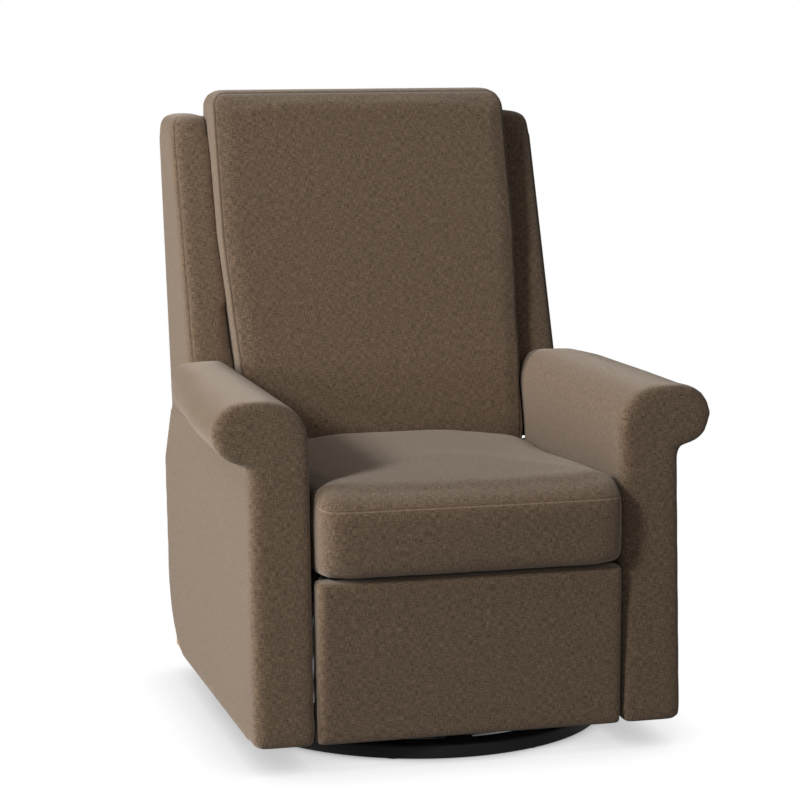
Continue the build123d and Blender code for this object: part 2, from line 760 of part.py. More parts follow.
def rivet(at, inner_layer, outer_layer, head_in, head_out):
    """A rivet through neighbouring layers, with a head at either end or both."""
    low = steel_layers[inner_layer]
    high = steel_layers[outer_layer] + plate
    start = low - axial_play if head_in else low
    stop = high + axial_play if head_out else high
    piece = rod(at, rivet_radius, start, stop)
    if head_in:
        piece += rod(at, rivet_head_radius, start - rivet_head, start)
    if head_out:
        piece += rod(at, rivet_head_radius, stop, stop + rivet_head)
    return piece


def footrest_linkage():
    save("drive_links", both(link(drive_pivot, long_foot, 1, [drive_pivot], [long_foot, upper_foot])))
    save("idler_links", both(link(idler_pivot, idler_foot, 3, [idler_pivot, idler_foot])))
    long = link(long_foot, long_head, 2, [long_foot], [idler_foot, long_head])
    save("long_links", both(long))
    save("upper_links", both(link(upper_foot, upper_head, 0, [upper_foot, upper_head])))
    reach = steel_layers[2]
    tube = rod(cross_tube_point, cross_tube_radius, -reach, reach)
    save("link_cross_tube", [tube])

    save("rivets_seat", both(rivet(drive_pivot, 1, 0, True, True))
         + both(rivet(idler_pivot, 3, 0, True, True))
         + both(rivet((back_pivot_back, back_pivot_z), 1, 0, True, True)))
    save("rivets_drive", both(rivet(long_foot, 2, 1, True, True))
         + both(rivet(upper_foot, 1, 0, False, True)))
    save("rivets_long", both(rivet(idler_foot, 3, 2, True, False))
         + both(rivet(long_head, 2, 1, True, False)))
    save("rivets_footrest", both(rivet(upper_head, 1, 0, True, True)))


def footrest():
    low = steel_layers[1]
    board_rear = footrest_pad + footrest_board
    shape = outline([(board_rear, footrest_bracket_low), (board_rear + 8, footrest_bracket_low),
                     (long_head[0] + 9, long_head[1] - 8), (upper_head[0] + 11, upper_head[1] + 5),
                     (upper_head[0], upper_head[1] + 9), (board_rear, upper_head[1] + 8)])
    shape += dot(long_head, link_half_width)
    shape += dot(upper_head, link_half_width)
    shape &= outline([(board_rear, 0), (overall_depth, 0), (overall_depth, footrest_top),
                      (board_rear, footrest_top)])
    side = slab(shape, low, low + plate)
    side += box(low - 20, low + plate, board_rear, board_rear + 3, footrest_bracket_low, upper_head[1] + 8)
    side -= rod(long_head, rivet_radius + running, 0, overall_height)
    side -= rod(upper_head, rivet_radius, 0, overall_height)
    save("footrest_brackets", both(side))

    inset = footrest_board_inset
    half = footrest_board_half_width
    board = box(-half, half, footrest_pad, board_rear, footrest_low + inset, footrest_top - inset)
    save("footrest_board", [board])

    wide = inside - panel_side_gap
    pad = box(-wide, wide, 0, board_rear, footrest_low, footrest_top)
    pad = fillet(pad.faces().sort_by(Axis.Y)[0].edges(), footrest_edge)
    pad -= box(-half, half, footrest_pad, overall_depth, footrest_low + inset, footrest_top - inset)
    save("footrest_pad", [pad])


# ---- back ------------------------------------------------------------------------------
def back_structure():
    low = back_side_low
    top = back_side_top
    inner = back_side_outer - back_side_board
    shape = outline([(side_front(low), low), (side_front(top), top),
                     (outside_back_inner(top), top), (outside_back_inner(low), low)])
    side = slab(shape, inner, back_side_outer)
    bracket_low = steel_layers[1]
    screws = []
    for z in bracket_screw_heights:
        at = (side_front(z) + bracket_screw_inset, z)
        side -= rod(at, bracket_screw_radius, inner + 4, overall_height)
        screw = rod(at, bracket_screw_radius, inner + 4, bracket_low + plate)
        head = bracket_low + plate
        screws += both(screw + rod(at, 2 * bracket_screw_radius, head, head + 2.5))
    rails = []
    for z in (low + 10, (low + top) / 2, top - back_rail):
        profile = outline([(side_front(z), z), (side_front(z) + back_rail_depth, z),
                           (side_front(z + back_rail) + back_rail_depth, z + back_rail),
                           (side_front(z + back_rail), z + back_rail)])
        rails.append(slab(profile, -inner, inner))
    save("back_frame", both(side) + rails)
    save("back_bracket_bolts", screws)

    head_z = low + bracket_rise
    bracket = outline([(side_front(low + 12), low + 12), (side_front(head_z), head_z),
                       (side_front(head_z) + bracket_width, head_z), (side_front(low) + bracket_width, low),
                       (back_pivot_back + 16, back_pivot_z - 8), (back_pivot_back, back_pivot_z)])
    bracket += dot((back_pivot_back, back_pivot_z), bracket_eye_radius)
    bracket &= outline([(back_pivot_back - 40, 0), (rear_back, 0), (rear_back, overall_height),
                        (back_pivot_back - 40, overall_height)])
    plate_piece = slab(bracket, bracket_low, bracket_low + plate)
    plate_piece -= rod((back_pivot_back, back_pivot_z), rivet_radius + running, 0, overall_height)
    for z in bracket_screw_heights:
        plate_piece -= rod((side_front(z) + bracket_screw_inset, z), bracket_screw_radius, 0, overall_height)
    save("back_brackets", both(plate_piece))

    bands = []
    step = (top - low - 60) / (back_band_count - 1)
    for i in range(back_band_count):
        z = low + 5 + i * step
        high = z + webbing_width
        profile = outline([(side_front(z) - webbing, z), (side_front(z), z), (side_front(high), high),
                           (side_front(high) - webbing, high)])
        bands.append(slab(profile, -back_side_outer, back_side_outer))
    save("back_webbing", bands)


def back_covers():
    pad_inner = back_side_outer + plate + plate_gap + 3
    pad_outer = wing_inner - 0.5
    low = back_low
    cap = back_side_top + 1
    shape = outline([(side_front(low), low), (side_front(wing_top), wing_top),
                     (outside_back_inner(wing_top), wing_top), (outside_back_inner(low), low)])
    body = slab(shape, -pad_outer, pad_outer)
    body -= box(-pad_inner, pad_inner, 0, overall_depth, 0, cap)
    save("back_padding", [body])

    bottom = (wing_front(low), low)
    profile = outline([bottom, (wing_front(wing_top), wing_top), (rear_face(wing_top), wing_top),
                       (rear_face(low), low)])
    tops = profile.vertices().sort_by(Axis.Y)[-2:]
    profile = fillet(tops, wing_corner)
    wing = slab(profile, wing_inner, wing_outer)
    rim = wing.faces().sort_by(Axis.X)[-1].edges().sort_by(Axis.Z)[1:]
    wing = fillet(rim, wing_edge)
    panel_half = wing_outer - wing_edge
    recess = outline([(outside_back_inner(low - 1), low - 1), (outside_back_inner(wing_top), wing_top),
                      (overall_depth, wing_top), (overall_depth, low - 1)])
    wing -= slab(recess, 0, panel_half)
    cheek_top = wing_cheek_top
    cheek_view = outline([(back_cushion_side(low) + wing_cheek_gap, low), (wing_inner, low),
                          (wing_inner, cheek_top),
                          (back_cushion_side(cheek_top) + wing_cheek_gap, cheek_top)])
    cheek = front_slab(cheek_view, 0, overall_depth)
    cheek &= slab(outline([(wing_front(low) + wing_cheek_inset, low),
                           (wing_front(cheek_top) + wing_cheek_inset, cheek_top),
                           (side_front(cheek_top) - back_padding_gap, cheek_top),
                           (side_front(low) - back_padding_gap, low)]), 0, wing_inner)
    wing += cheek
    save("wing_left", [wing])
    save("wing_right", [mirror(wing, about=Plane.YZ)])

    panel_top = outside_back_top
    wide = panel_half - 0.5
    half = outside_back_half_width
    plan = outline([(-half, outside_back_low), (half, outside_back_low), (half, low), (wide, low),
                    (wide, panel_top), (-wide, panel_top), (-wide, low), (-half, low)])
    plan = fillet(plan.vertices().sort_by(Axis.Y)[:2], outside_back_corner)
    skin = outline([(outside_back_inner(0), 0), (outside_back_inner(panel_top), panel_top),
                    (rear_face(panel_top), panel_top), (rear_face(0), 0)])
    panel = front_slab(plan, 0, overall_depth) & slab(skin, -wing_outer, wing_outer)
    save("outside_back", [panel])


def back_cushion():
    rear_gap = webbing + back_padding_gap
    low = back_cushion_low
    top = overall_height
    narrow = back_cushion_low_half_width
    wide = back_cushion_half_width
    r = back_cushion_corner
    bow = r * (1 - math.sqrt(0.5))
    widest = back_cushion_widest_z
    front_view = make_face([
        Line((-narrow + r, low), (narrow - r, low)),
        ThreePointArc((narrow - r, low), (narrow - bow, low + bow), (narrow, low + r)),
        Line((narrow, low + r), (wide, widest)),
        Line((wide, widest), (wide, top - r)),
        ThreePointArc((wide, top - r), (wide - bow, top - bow), (wide - r, top)),
        Line((wide - r, top), (-wide + r, top)),
        ThreePointArc((-wide + r, top), (-wide + bow, top - bow), (-wide, top - r)),
        Line((-wide, top - r), (-wide, widest)),
        Line((-wide, widest), (-narrow, low + r)),
        ThreePointArc((-narrow, low + r), (-narrow + bow, low + bow), (-narrow + r, low))])
    face = back_cushion_low_front
    waist = back_cushion_waist
    head_z = wing_top
    head = waist[0] + back_cushion_slope * (head_z - waist[1])
    rear = side_front(head_z) - rear_gap
    chest = ((waist[0] + head) / 2 + back_cushion_hollow, (waist[1] + head_z) / 2)
    brow = (head + back_cushion_brow, top)
    nape = (rear - back_cushion_nape, top)
    side_view = make_face([
        Line((side_front(low) - rear_gap, low), (face + 20, low)),
        ThreePointArc((face + 20, low), (face + 6, low + 6), (face, low + 20)),
        Line((face, low + 20), (face, back_cushion_bend_z)),
        Line((face, back_cushion_bend_z), waist),
        ThreePointArc(waist, chest, (head, head_z)),
        ThreePointArc((head, head_z), (head + 0.43 * back_cushion_brow, top - 8), brow),
        Line(brow, nape),
        ThreePointArc(nape, (rear - 9, top - 9), (rear, head_z)),
        Line((rear, head_z), (side_front(low) - rear_gap, low))])
    cushion = front_slab(front_view, 0, overall_depth) & slab(side_view, -wide - 5, wide + 5)
    save("back_cushion", [cushion])


# ---- release lever ---------------------------------------------------------------------
def release_lever():
    outer = inside - lever_gap
    lever_inner = outer - lever_thickness
    shape = bar_outline(lever_pivot, lever_top, lever_width / 2) + dot(lever_pivot, lever_width / 2 + 4)
    shape += Pos(*lever_top) * RectangleRounded(34, 30, 8)
    lever = slab(shape, lever_inner, outer)
    lever -= rod(lever_pivot, lever_pin_radius + running, 0, overall_height)
    save("release_lever", [mirror(lever, about=Plane.YZ)])

    pin = rod(lever_pivot, lever_pin_radius, lever_inner - axial_play, frame_inner - 6)
    pin += rod(lever_pivot, lever_pin_radius + 3, lever_inner - axial_play - 2, lever_inner - axial_play)
    pin += rod(lever_pivot, lever_pin_radius + 4, outer + axial_play, inside)
    pins = [mirror(pin, about=Plane.YZ)]
    save("release_pin", pins)


os.makedirs("parts", exist_ok=True)
base()
swivel_frame()
glide_links()
chassis()
arms()
seat()
seat_cushion()
footrest_linkage()
footrest()
back_structure()
back_covers()
back_cushion()
release_lever()
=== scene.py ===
"""The looks of a swivel glider recliner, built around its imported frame.

Every length is in metres, in the frame's own coordinates: X across the chair, -Y the way it
faces, Z up from the floor. Upholstered pieces start as copies of the frame's soft solids and
get their rounding, puff and seams here.
"""

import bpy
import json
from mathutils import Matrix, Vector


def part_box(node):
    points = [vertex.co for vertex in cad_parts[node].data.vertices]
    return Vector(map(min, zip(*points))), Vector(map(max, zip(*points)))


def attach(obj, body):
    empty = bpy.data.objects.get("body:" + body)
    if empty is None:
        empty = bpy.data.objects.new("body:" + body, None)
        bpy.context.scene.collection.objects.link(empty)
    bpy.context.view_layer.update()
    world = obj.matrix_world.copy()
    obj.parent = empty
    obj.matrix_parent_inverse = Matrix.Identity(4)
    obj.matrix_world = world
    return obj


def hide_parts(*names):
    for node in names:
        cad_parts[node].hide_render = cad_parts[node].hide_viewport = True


bl_info = {
    "name": "Swivel glider recliner",
    "version": (1, 0, 0),
    "blender": (4, 5, 0),
    "location": "3D View > Sidebar > Recliner",
    "description": "Upholstery, finishes and studio for a swivel glider recliner",
    "category": "Object",
}

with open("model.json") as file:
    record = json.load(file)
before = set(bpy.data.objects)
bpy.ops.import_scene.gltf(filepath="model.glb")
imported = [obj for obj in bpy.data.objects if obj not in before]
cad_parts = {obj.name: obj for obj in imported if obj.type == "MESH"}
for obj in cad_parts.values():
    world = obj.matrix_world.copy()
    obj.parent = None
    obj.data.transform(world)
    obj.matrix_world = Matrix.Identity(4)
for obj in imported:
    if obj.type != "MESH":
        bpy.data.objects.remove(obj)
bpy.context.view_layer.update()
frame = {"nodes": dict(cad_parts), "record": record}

import json
import math

import bmesh
import bpy
import numpy as np
from bpy.props import FloatProperty, FloatVectorProperty, IntProperty, PointerProperty
from mathutils import Vector

NODES = frame["nodes"]
BODY_OF = {node: body for body, nodes in frame["record"]["behaviour"]["bodies"].items()
           for node in nodes}
MIX_FIRST, MIX_SECOND, MIX_RESULT = 6, 7, 2     # the Mix node's sockets for colours
WHITE = (1, 1, 1, 1)
WELD = 1e-5                 # corners of a frame solid that lie this close are one
FINE = 0.8                  # the mesh step of panels and cushions, as a share of the arms'
SEAM_BAND = 0.008           # the mesh is finer this far to each side of a seam
LIT_POINT = (0, 0, 0.5)     # all lights face this point, just above the seat

# Lines of the chair. "Back" is measured from the plane of the arms' front faces at the floor.
FRONT_PLANE = -0.458        # the Y of that plane
SWIVEL_Y = -0.103           # the axis on which the chair turns
ARM_SIDE = 0.361            # an arm's outer side, which the roll overhangs
CREASE_Z = 0.509            # the crease between the roll and the outside panel
ROLL_LOW = 0.512            # the roll's underside
ROLL_ZONE = 0.50            # height: the roll's own shaping starts here, below the crease
ROLL_FRONT, ROLL_TAIL = 0.05, 0.70      # back: where the roll's cone starts and ends
FRONT_ZONE = 0.06           # back: the arms' fronts are rounded over more up to here
WING_SIDE = 0.3515          # a wing's outer side
WING_TOP_ZONE = 0.995       # height: the wings are rounded over more above this
FACE_FOOT = (0.5484, 0.478)             # back, height: the back cushion is upright below this,
WAIST = (0.579, 0.584)                  # slopes back to here,
CHEST, HEAD = (0.6625, 0.812), (0.737, 1.040)    # and is an arc from there to its head

# Profiles: pairs of a place and the measure at that place.
CUSHION_SIDE = ((0.359, 0.253), (0.82, 0.281))          # height, half width of the back cushion
ROLL_REACH = ((0.05, 0.0695), (0.25, 0.064), (0.45, 0.045), (0.60, 0.026), (0.70, 0.013))
ROLL_TOP = ((0.05, 0.615), (0.46, 0.614), (0.60, 0.604), (0.70, 0.584))
SEAT_NOSE = ((0, 0), (0.026, 0.008), (0.06, 0.0145), (0.12, 0.010), (0.20, 0.004), (0.30, 0))
SEAT_SIDES = ((0.12, 0), (0.20, 0.007), (0.235, 0.012), (0.255, 0.010), (0.262, 0.002))
SEAT_SIDES_SHARE = ((0, 0), (0.03, 1), (0.20, 1), (0.40, 0))


def at_back(back):
    """The Y of a point that lies this far behind the arms' front plane."""
    return FRONT_PLANE + back


def along(profile, place):
    """The measure that a profile gives at a place."""
    places, measures = zip(*profile)
    return np.interp(place, places, measures)


def rise(value, start, reach):
    """0 up to the start, then evenly up to 1 over the reach."""
    return np.clip((value - start) / reach, 0, 1)


# ---- settings that a user would change ---------------------------------------------------
def colour(name, text, value):
    return FloatVectorProperty(name=name, description=text, subtype="COLOR", size=3,
                               min=0, max=1, default=value)


def length(name, text, value):
    return FloatProperty(name=name, description=text, unit="LENGTH", min=0, default=value)


def number(name, text, value, subtype="NONE"):
    return FloatProperty(name=name, description=text, subtype=subtype, default=value)


class ReclinerFabric(bpy.types.PropertyGroup):
    yarn_dark: colour("Dark yarn", "Colour of the darkest yarns in the tweed",
                      (0.072, 0.045, 0.026))
    yarn_mid: colour("Ground yarn", "Colour of most of the yarns in the tweed",
                     (0.156, 0.101, 0.061))
    yarn_light: colour("Light yarn", "Colour of the palest yarns in the tweed",
                       (0.262, 0.178, 0.114))
    yarn_width: length("Yarn width", "Width of one yarn", 0.0012)
    slub_length: length("Slub length", "Length of one fleck of colour along a yarn", 0.0100)
    voxel: length("Mesh step", "Edge length of the even mesh under the fabric", 0.005)


class ReclinerCushions(bpy.types.PropertyGroup):
    swell_cap: length("Puff", "How far a cushion's cover may swell", 0.0075)
    start_inset: length("Start inset", "How much smaller a cushion is before it swells", 0.004)
    swell_mesh: length("Simulation mesh", "Edge length of the mesh while it swells", 0.007)
    pressure: number("Filling pressure", "Pressure of the filling on the cover", 4.0)
    frames: IntProperty(name="Swell steps", description="Steps of the cloth simulation",
                        default=20)
    seam_depth: length("Seam depth", "How deep a seam lies", 0.0012)
    seam_width: length("Seam width", "Half width of the fold along a seam", 0.0022)


class ReclinerStage(bpy.types.PropertyGroup):
    camera_place: FloatVectorProperty(name="Camera", description="Where the camera stands",
                                      subtype="TRANSLATION", size=3,
                                      default=(-1.22986, -4.50819, 1.26329))
    camera_down: number("Camera tilt", "How far the camera looks down", 0.153225, "ANGLE")
    camera_turn: number("Camera turn", "How far the camera looks to its right", 0.266169,
                        "ANGLE")
    camera_lens: number("Lens", "Focal length on a 36 mm sensor", 118.342)
    key_power: number("Key light", "Power of the main light, front left", 122)
    side_power: number("Side light", "Power of the low light on the left", 300)
    soft_power: number("Soft light", "Power of the large light above the left", 30)
    fill_power: number("Front light", "Power of the front fill light", 24)
    sky: number("Surround", "Strength of the even light from all round", 0.07)


GROUPS = {"fabric": ReclinerFabric, "cushions": ReclinerCushions, "stage": ReclinerStage}


def settings(group):
    """The values of one of these groups, as they are set in the scene."""
    return getattr(bpy.context.scene, "recliner_" + group)


# ---- node trees --------------------------------------------------------------------------
def set_value(socket, value):
    """Sets a socket's own value. A colour of three numbers is made opaque."""
    needs_alpha = socket.type == "RGBA" and len(value) == 3
    socket.default_value = (*value, 1) if needs_alpha else value


def add(tree, kind, inputs=None, **options):
    """One shader node. An input is a number, a colour or another node's output."""
    made = tree.nodes.new(kind)
    for option, value in options.items():
        setattr(made, option, value)
    for key, value in (inputs or {}).items():
        if isinstance(value, bpy.types.NodeSocket):
            tree.links.new(value, made.inputs[key])
        else:
            set_value(made.inputs[key], value)
    return made


def math_node(tree, operation, *values):
    return add(tree, "ShaderNodeMath", dict(enumerate(values)), operation=operation).outputs[0]


def blend_colours(tree, share, first, second, kind="MIX"):
    return add(tree, "ShaderNodeMix", {"Factor": share, MIX_FIRST: first, MIX_SECOND: second},
               data_type="RGBA", blend_type=kind).outputs[MIX_RESULT]


def new_material(name, **values):
    """A material with one Principled shader, whose own sockets get the given values.

    A socket that is linked later keeps its value as a plain stand-in for its pattern.
    """
    material = bpy.data.materials.new(name)
    material.use_nodes = True
    tree = material.node_tree
    shader = tree.nodes["Principled BSDF"]
    for key, value in values.items():
        set_value(shader.inputs[key.replace("_", " ")], value)
    return material, tree, shader


def object_place(tree):
    return add(tree, "ShaderNodeTexCoord").outputs["Object"]


def stretch(tree, vector, *sizes):
    """Coordinates measured in a size along each axis, or in one size along all three."""
    scale = tuple(1 / size for size in sizes) * (3 // len(sizes))
    return add(tree, "ShaderNodeMapping", {"Vector": vector, "Scale": scale}).outputs[0]


def noise(tree, vector, detail, roughness):
    return add(tree, "ShaderNodeTexNoise",
               {"Vector": vector, "Scale": 1.0, "Detail": detail,
                "Roughness": roughness}).outputs["Fac"]


def waves(tree, vector, distortion, direction):
    return add(tree, "ShaderNodeTexWave",
               {"Vector": vector, "Scale": 0.5, "Distortion": distortion},
               bands_direction=direction).outputs["Fac"]


def ramp(tree, value, stops):
    """A colour ramp through (position, grey or colour) stops."""
    made = add(tree, "ShaderNodeValToRGB", {"Fac": value})
    while len(made.color_ramp.elements) < len(stops):
        made.color_ramp.elements.new(0.5)
    for element, (place, shade) in zip(made.color_ramp.elements, stops):
        element.position = place
        element.color = (*shade, 1) if isinstance(shade, tuple) else (shade, shade, shade, 1)
    return made.outputs["Color"]


def raise_surface(tree, shader, height, strength, distance):
    """Lets a pattern stand out from the surface, up to a distance."""
    bump = add(tree, "ShaderNodeBump", {"Height": height, "Strength": strength,
                                        "Distance": distance})
    tree.links.new(bump.outputs[0], shader.inputs["Normal"])


# ---- finishes ----------------------------------------------------------------------------
def tweed():
    """The cover fabric: a fine cross-hatched tweed that follows the piece's own weave map.

    The piece's fold attribute paints shade into the cloth along a fold, where shade falls. Where
    it is negative, it shows a seam's pale thread.
    """
    fabric = settings("fabric")
    material, tree, shader = new_material(
        "tweed", Roughness=0.92, Sheen_Weight=0.55, Sheen_Roughness=0.6,
        Sheen_Tint=(1.0, 0.87, 0.75), Specular_IOR_Level=0.0)
    patch_size, patch_share = 0.035, 0.05
    ground = 0.5            # the level of the ground shade, in the middle of each noise
    # painted shade: the colour of the cloth in the shadow of a fold or crease
    painted_crease_shade = tuple(0.3 * c for c in fabric.yarn_dark)
    thread_shade = tuple(1.6 * c for c in fabric.yarn_light)
    place = add(tree, "ShaderNodeUVMap", uv_map="weave").outputs[0]
    width, slub = fabric.yarn_width, fabric.slub_length

    # of the two sets of yarns, the one that differs more from the ground shade shows on top
    warp = noise(tree, stretch(tree, place, width, slub, 1), 1.0, 0.5)
    weft = noise(tree, stretch(tree, place, slub, width, 1), 1.0, 0.5)
    patch = noise(tree, stretch(tree, place, patch_size, patch_size, 1), 3.0, 0.6)
    warp_off, weft_off, patch_off = (math_node(tree, "SUBTRACT", pattern, ground)
                                     for pattern in (warp, weft, patch))
    on_top = math_node(tree, "GREATER_THAN", math_node(tree, "ABSOLUTE", warp_off),
                       math_node(tree, "ABSOLUTE", weft_off))
    above = math_node(tree, "MULTIPLY", math_node(tree, "SUBTRACT", warp_off, weft_off), on_top)
    yarns = math_node(tree, "ADD", math_node(tree, "ADD", weft_off, above), ground)
    level = math_node(tree, "ADD", yarns, math_node(tree, "MULTIPLY", patch_off, patch_share))
    shade = ramp(tree, level, [(0.29, tuple(fabric.yarn_dark)), (0.50, tuple(fabric.yarn_mid)),
                               (0.73, tuple(fabric.yarn_light))])

    # painted shade: where the fold attribute is positive, the cloth darkens along seams and
    # creases
    fold = add(tree, "ShaderNodeAttribute", attribute_name="fold").outputs["Fac"]
    dark = math_node(tree, "MAXIMUM", fold, 0.0)
    pale = math_node(tree, "MAXIMUM", math_node(tree, "MULTIPLY", fold, -1.0), 0.0)
    shade = blend_colours(tree, dark, shade, painted_crease_shade)
    shade = blend_colours(tree, pale, shade, thread_shade)
    tree.links.new(shade, shader.inputs["Base Color"])

    ribs, picks = (waves(tree, stretch(tree, place, width, width, 1), 1.5, direction)
                   for direction in ("X", "Y"))
    height = math_node(tree, "ADD", math_node(tree, "MULTIPLY", ribs, picks), yarns)
    raise_surface(tree, shader, height, strength=0.35, distance=0.0006)
    return material


def black_steel():
    """Satin black powder coat: fine orange peel and broad patches of faint dust."""
    material, tree, shader = new_material("black_powder_coat", Base_Color=(0.012, 0.012, 0.013),
                                          Roughness=0.6, Specular_IOR_Level=0.12)
    place = object_place(tree)
    peel = noise(tree, stretch(tree, place, 0.0012), 2, 0.5)
    dust = noise(tree, stretch(tree, place, 0.05), 3, 0.6)
    shade = ramp(tree, dust, [(0.35, (0.009, 0.009, 0.010)), (0.7, (0.022, 0.021, 0.020))])
    tree.links.new(shade, shader.inputs["Base Color"])
    tree.links.new(ramp(tree, dust, [(0.3, 0.52), (0.7, 0.68)]), shader.inputs["Roughness"])
    raise_surface(tree, shader, peel, strength=0.25, distance=0.0003)
    return material


def plated_steel(name, shade, rough, streak):
    """Plated mild steel: faint rolling streaks and uneven brightness."""
    material, tree, shader = new_material(name, Base_Color=shade, Metallic=1.0, Roughness=rough)
    place = object_place(tree)
    rolled = noise(tree, stretch(tree, place, 0.03, 0.09, 0.0015), 3, 0.6)
    cloud = noise(tree, stretch(tree, place, 0.018), 3, 0.6)
    dark = tuple(c * (1 - streak) for c in shade)
    dull = ramp(tree, rolled, [(0.3, rough * 0.8), (0.7, min(1.0, rough * 1.3))])
    tree.links.new(blend_colours(tree, cloud, dark, shade), shader.inputs["Base Color"])
    tree.links.new(dull, shader.inputs["Roughness"])
    raise_surface(tree, shader, rolled, strength=0.08, distance=0.0003)
    return material


def plastic(name, shade, rough):
    """Moulded plastic or rubber with a fine matt grain."""
    material, tree, shader = new_material(name, Base_Color=shade, Roughness=rough,
                                          Specular_IOR_Level=0.4)
    place = object_place(tree)
    grain = noise(tree, stretch(tree, place, 0.0008), 2, 0.5)
    cloud = noise(tree, stretch(tree, place, 0.02), 2, 0.5)
    dark = tuple(c * 0.85 for c in shade)
    tree.links.new(blend_colours(tree, cloud, dark, shade), shader.inputs["Base Color"])
    raise_surface(tree, shader, grain, strength=0.3, distance=0.0002)
    return material


def plywood():
    """Birch ply: pale faces with long grain and fine darker pores."""
    material, tree, shader = new_material("birch_ply", Roughness=0.62, Specular_IOR_Level=0.3)
    place = object_place(tree)
    grain = noise(tree, stretch(tree, place, 0.004, 0.02, 0.12), 4, 0.65)
    pores = noise(tree, stretch(tree, place, 0.0012, 0.004, 0.02), 2, 0.6)
    shade = ramp(tree, grain, [(0.3, (0.42, 0.27, 0.13)), (0.55, (0.60, 0.43, 0.25)),
                               (0.75, (0.70, 0.53, 0.33))])
    pore_share = math_node(tree, "MULTIPLY", pores, 0.25)
    shade = blend_colours(tree, pore_share, shade, (0.33, 0.20, 0.09))
    tree.links.new(shade, shader.inputs["Base Color"])
    raise_surface(tree, shader, pores, strength=0.2, distance=0.0003)
    return material


def webbing_cloth():
    """Black woven webbing with a coarse rib across it."""
    material, tree, shader = new_material("webbing", Roughness=0.85, Sheen_Weight=0.3,
                                          Sheen_Roughness=0.4)
    yarn = stretch(tree, object_place(tree), 0.002)
    rib = waves(tree, yarn, 0.6, "DIAGONAL")
    fleck = noise(tree, yarn, 2, 0.6)
    level = math_node(tree, "MULTIPLY", math_node(tree, "ADD", rib, fleck), 0.5)
    shade = ramp(tree, level, [(0.3, (0.014, 0.013, 0.012)), (0.7, (0.055, 0.051, 0.046))])
    tree.links.new(shade, shader.inputs["Base Color"])
    raise_surface(tree, shader, level, strength=0.5, distance=0.0005)
    return material


# ---- meshes ------------------------------------------------------------------------------
def link_object(name, data):
    made = bpy.data.objects.new(name, data)
    bpy.context.scene.collection.objects.link(made)
    return made


def applied(piece):
    """Turns a piece's modifiers into its mesh."""
    bpy.context.view_layer.update()
    evaluated = piece.evaluated_get(bpy.context.evaluated_depsgraph_get())
    shape = bpy.data.meshes.new_from_object(evaluated)
    piece.modifiers.clear()
    old, piece.data = piece.data, shape
    bpy.data.meshes.remove(old)
    return piece


def merged_copy(name, nodes, change=None):
    """One new piece from copies of frame nodes, whose loose corners are merged.

    A change, where one is given, is made to each copy.
    """
    whole = bmesh.new()
    for node in nodes:
        part = bmesh.new()
        part.from_mesh(NODES[node].data)
        bmesh.ops.remove_doubles(part, verts=part.verts, dist=WELD)
        if change:
            change(node, part)
        step = bpy.data.meshes.new("step")
        part.to_mesh(step)
        part.free()
        whole.from_mesh(step)
        bpy.data.meshes.remove(step)
    mesh = bpy.data.meshes.new(name)
    whole.to_mesh(mesh)
    whole.free()
    return link_object(name, mesh)


def even_mesh(piece, step):
    """Remeshes a closed piece into small even quads."""
    remesh = piece.modifiers.new("even", "REMESH")
    remesh.mode = "VOXEL"
    remesh.voxel_size = step
    return applied(piece)


def soften(piece, rounds, chosen=None):
    """Rounds a piece's edges over by smoothing its points, or only the chosen ones."""
    mesh = bmesh.new()
    mesh.from_mesh(piece.data)
    verts = [v for v in mesh.verts if chosen is None or chosen(v.co)]
    for _ in range(rounds):
        bmesh.ops.smooth_vert(mesh, verts=verts, factor=0.5,
                              use_axis_x=True, use_axis_y=True, use_axis_z=True)
    mesh.to_mesh(piece.data)
    mesh.free()
    return piece


def rows_of(items, field):
    """A row of three numbers for each of a mesh's vertices or faces."""
    values = np.empty(len(items) * 3)
    items.foreach_get(field, values)
    return values.reshape(-1, 3)


def points_of(piece):
    return rows_of(piece.data.vertices, "co")


def normals_of(piece):
    return rows_of(piece.data.vertices, "normal")


def put_points(piece, points):
    piece.data.vertices.foreach_set("co", np.ascontiguousarray(points, float).ravel())
    piece.data.update()


# ---- cushions, seams and covers ----------------------------------------------------------
def swell(piece):
    """Fills a cushion: cloth under pressure for a few steps, of which only the rise is kept.

    Each point rises along its normal by the start inset at least and the puff at most.
    """
    cushions = settings("cushions")
    start, outward = points_of(piece), normals_of(piece)
    cloth = piece.modifiers.new("filling", "CLOTH")
    cloth.settings.use_pressure = True
    cloth.settings.uniform_pressure_force = cushions.pressure
    cloth.settings.effector_weights.gravity = 0
    cloth.settings.quality = 3
    cloth.point_cache.frame_start = 1
    cloth.point_cache.frame_end = cushions.frames
    scene = bpy.context.scene
    for step in range(1, cushions.frames + 1):
        scene.frame_set(step)
    applied(piece)
    scene.frame_set(1)
    risen = ((points_of(piece) - start) * outward).sum(1)
    kept = np.clip(risen, cushions.start_inset, cushions.swell_cap)
    put_points(piece, start + outward * kept[:, None])


def filled_cushion(name, node, rounds, shape, nose=None):
    """A cushion from its frame solid: rounded, shaped, swollen by its filling, meshed finely.

    Its nose, where one is given, is rounded over more.
    """
    cushions = settings("cushions")
    cushion = even_mesh(merged_copy(name, [node]), cushions.swell_mesh)
    soften(cushion, rounds)
    shape(cushion)
    if nose:
        soften(cushion, rounds=16, chosen=nose)
    put_points(cushion, points_of(cushion) - normals_of(cushion) * cushions.start_inset)
    swell(cushion)
    soften(cushion, rounds=3)
    even_mesh(cushion, settings("fabric").voxel * FINE)
    return soften(cushion, rounds=2)


